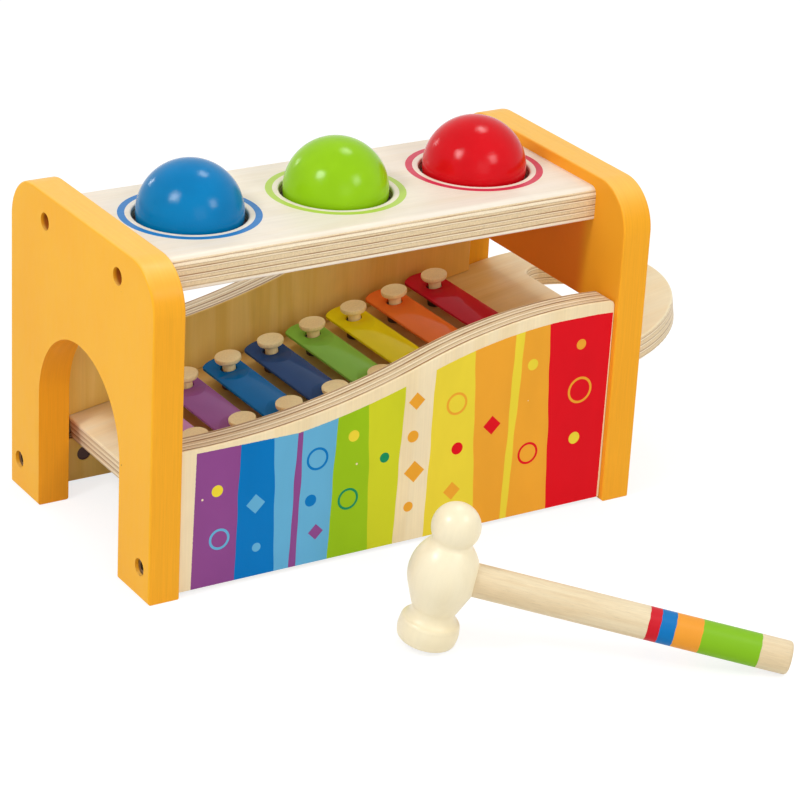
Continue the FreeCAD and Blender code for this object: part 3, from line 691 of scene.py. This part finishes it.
dress(end_paint_look("left_end_paint"), "left_end_panel")
dress(end_paint_look("right_end_paint"), "right_end_panel")
dress(top_board_look(), "top_board")
dress(front_panel_look(), "front_panel")
dress(back_panel_look(), "back_panel")
dress(tray_look(), "tray_board")
for name, (paint, deep) in BALL_PAINT.items():
    dress(ball_look("ball_" + name + "_paint", paint, deep), "ball_" + name)
dress(pin_look(), "rear_bar_pins", "front_bar_pins")
dress(rubber_look("sleeve_rubber", srgb(78, 54, 44), 0.7), "rear_bar_sleeves", "front_bar_sleeves")
ring_rubber = rubber_look("ring_rubber", srgb(105, 78, 74), 0.6)
dress(ring_rubber, "ball_ring_left", "ball_ring_middle", "ball_ring_right")
# The bolts' tone is darkened and browned as painted shade of their deep bores
dress(steel_look("bolt_steel", srgb(132, 118, 108), 0.3), "panel_bolts")
dress(steel_look("screw_steel", srgb(150, 110, 60), 0.4), "top_screws")
dress(steel_look("nut_steel", srgb(78, 58, 54), 0.5), "barrel_nuts")
dress(dowel_look(), "panel_dowels")
dress(mallet_head_look(), "mallet_head")
dress(mallet_handle_look(), "mallet_handle")
for name, paint in BAR_PAINT.items():
    dress(bar_look("bar_" + name + "_enamel", paint), "bar_" + name)

# Floor and background: white to the eye, with the object's shadow kept
FLOOR_SIDE = 12.0
FLOOR_HEIGHT = -0.0002
FLOOR_PAPER = grey(0.8)
FLOOR_SHOWN = grey(0.34)
FLOOR_GLOW = 0.76
AMBIENT = 0.7


def plane(name, side, z):
    half = side / 2
    corners = [(-half, -half, z), (half, -half, z), (half, half, z), (-half, half, z)]
    mesh = bpy.data.meshes.new(name)
    mesh.from_pydata(corners, [], [(0, 1, 2, 3)])
    made = bpy.data.objects.new(name, mesh)
    bpy.context.scene.collection.objects.link(made)
    return made


def seen_rays(tree):
    """1 for what the eye sees, straight or in a reflection, and 0 for light that falls on the object."""
    rays = tree.nodes.new("ShaderNodeLightPath")
    total = rays.outputs["Is Camera Ray"]
    for name in ("Is Glossy Ray", "Is Transmission Ray"):
        add = tree.nodes.new("ShaderNodeMath")
        add.operation = "MAXIMUM"
        tree.links.new(total, add.inputs[0])
        tree.links.new(rays.outputs[name], add.inputs[1])
        total = add.outputs[0]
    return total


def floor_look():
    material = bpy.data.materials.new("floor_white")
    material.use_nodes = True
    tree = material.node_tree
    tree.nodes.clear()
    out = tree.nodes.new("ShaderNodeOutputMaterial")
    paper = tree.nodes.new("ShaderNodeBsdfDiffuse")
    paper.inputs["Color"].default_value = FLOOR_PAPER
    shown = tree.nodes.new("ShaderNodeBsdfDiffuse")
    shown.inputs["Color"].default_value = FLOOR_SHOWN
    glow = tree.nodes.new("ShaderNodeEmission")
    glow.inputs["Strength"].default_value = FLOOR_GLOW
    both = tree.nodes.new("ShaderNodeAddShader")
    tree.links.new(shown.outputs[0], both.inputs[0])
    tree.links.new(glow.outputs[0], both.inputs[1])
    pick = tree.nodes.new("ShaderNodeMixShader")
    tree.links.new(seen_rays(tree), pick.inputs[0])
    tree.links.new(paper.outputs[0], pick.inputs[1])
    tree.links.new(both.outputs[0], pick.inputs[2])
    tree.links.new(pick.outputs[0], out.inputs["Surface"])
    return material


def studio_world():
    world = bpy.data.worlds.new("studio")
    world.use_nodes = True
    tree = world.node_tree
    background = tree.nodes["Background"]
    background.inputs["Color"].default_value = WHITE
    strength = tree.nodes.new("ShaderNodeMapRange")
    strength.inputs["To Min"].default_value = AMBIENT
    strength.inputs["To Max"].default_value = 1.0
    tree.links.new(seen_rays(tree), strength.inputs["Value"])
    tree.links.new(strength.outputs[0], background.inputs["Strength"])
    return world


floor = plane("floor", FLOOR_SIDE, FLOOR_HEIGHT)
floor.data.materials.append(floor_look())
bpy.context.scene.world = studio_world()

# Softboxes: places in millimetres from the bench's corner, sides in metres, powers in watts
AIM = (120, 60, 90)
LEFT = (-443, -64, 632)
FRONT = (300, -386, 430)
TOP = (431, 224, 893)
FILL = (-68, -1105, 503)
BACK = (-257, 1191, 467)


def softbox(name, place, side, power):
    light = bpy.data.lights.new(name, "AREA")
    light.shape = "SQUARE"
    light.size = side
    light.energy = power
    lamp = bpy.data.objects.new(name, light)
    lamp.location = Vector(HOME) + Vector(place) * MM
    lamp.rotation_mode = "QUATERNION"
    lamp.rotation_quaternion = (Vector(place) - Vector(AIM)).to_track_quat("Z", "Y")
    bpy.context.scene.collection.objects.link(lamp)
    return lamp


def glint(name, place, side, power):
    """The bright front of a softbox, which shows in gloss and adds no other light."""
    softbox(name, place, side, power).visible_diffuse = False


softbox("left_softbox", LEFT, 0.12, 1.6)
softbox("front_softbox", FRONT, 0.09, 0.42)
softbox("top_softbox", TOP, 0.11, 0.54)
softbox("fill_softbox", FILL, 0.55, 1.5)
softbox("back_softbox", BACK, 0.14, 0.8)
glint("left_glint", LEFT, 0.2, 3.0)
glint("front_glint", FRONT, 0.15, 0.75)
glint("top_glint", TOP, 0.19, 1.6)

# Camera at the photograph's place, in millimetres from the bench's corner
CAMERA_PLACE = (-513.849, -975.099, 585.942)
AZIMUTH = math.radians(32.82)
ELEVATION = math.radians(24.0)
ROLL = math.radians(3.19)
LENS_PIXELS = 3078.65
PICTURE_PIXELS = 800
SENSOR = 36.0
FARTHEST = 50.0


def camera_turn():
    """The camera's own axes: right, up and backwards."""
    level = Vector((math.cos(AZIMUTH), -math.sin(AZIMUTH), 0.0))
    ahead = Vector((math.sin(AZIMUTH), math.cos(AZIMUTH), 0.0))
    forward = ahead * math.cos(ELEVATION) - Vector((0.0, 0.0, math.sin(ELEVATION)))
    upright = level.cross(forward)
    right = level * math.cos(ROLL) + upright * math.sin(ROLL)
    above = upright * math.cos(ROLL) - level * math.sin(ROLL)
    return Matrix((right, above, -forward)).transposed().to_4x4()


lens = bpy.data.cameras.new("camera")
lens.sensor_fit = "HORIZONTAL"
lens.sensor_width = SENSOR
lens.lens = LENS_PIXELS / PICTURE_PIXELS * SENSOR
lens.clip_end = FARTHEST
camera = bpy.data.objects.new("camera", lens)
bpy.context.scene.collection.objects.link(camera)
camera.matrix_world = Matrix.Translation(Vector(HOME) + Vector(CAMERA_PLACE) * MM) @ camera_turn()
bpy.context.scene.camera = camera

bpy.context.scene.view_settings.view_transform = "Standard"
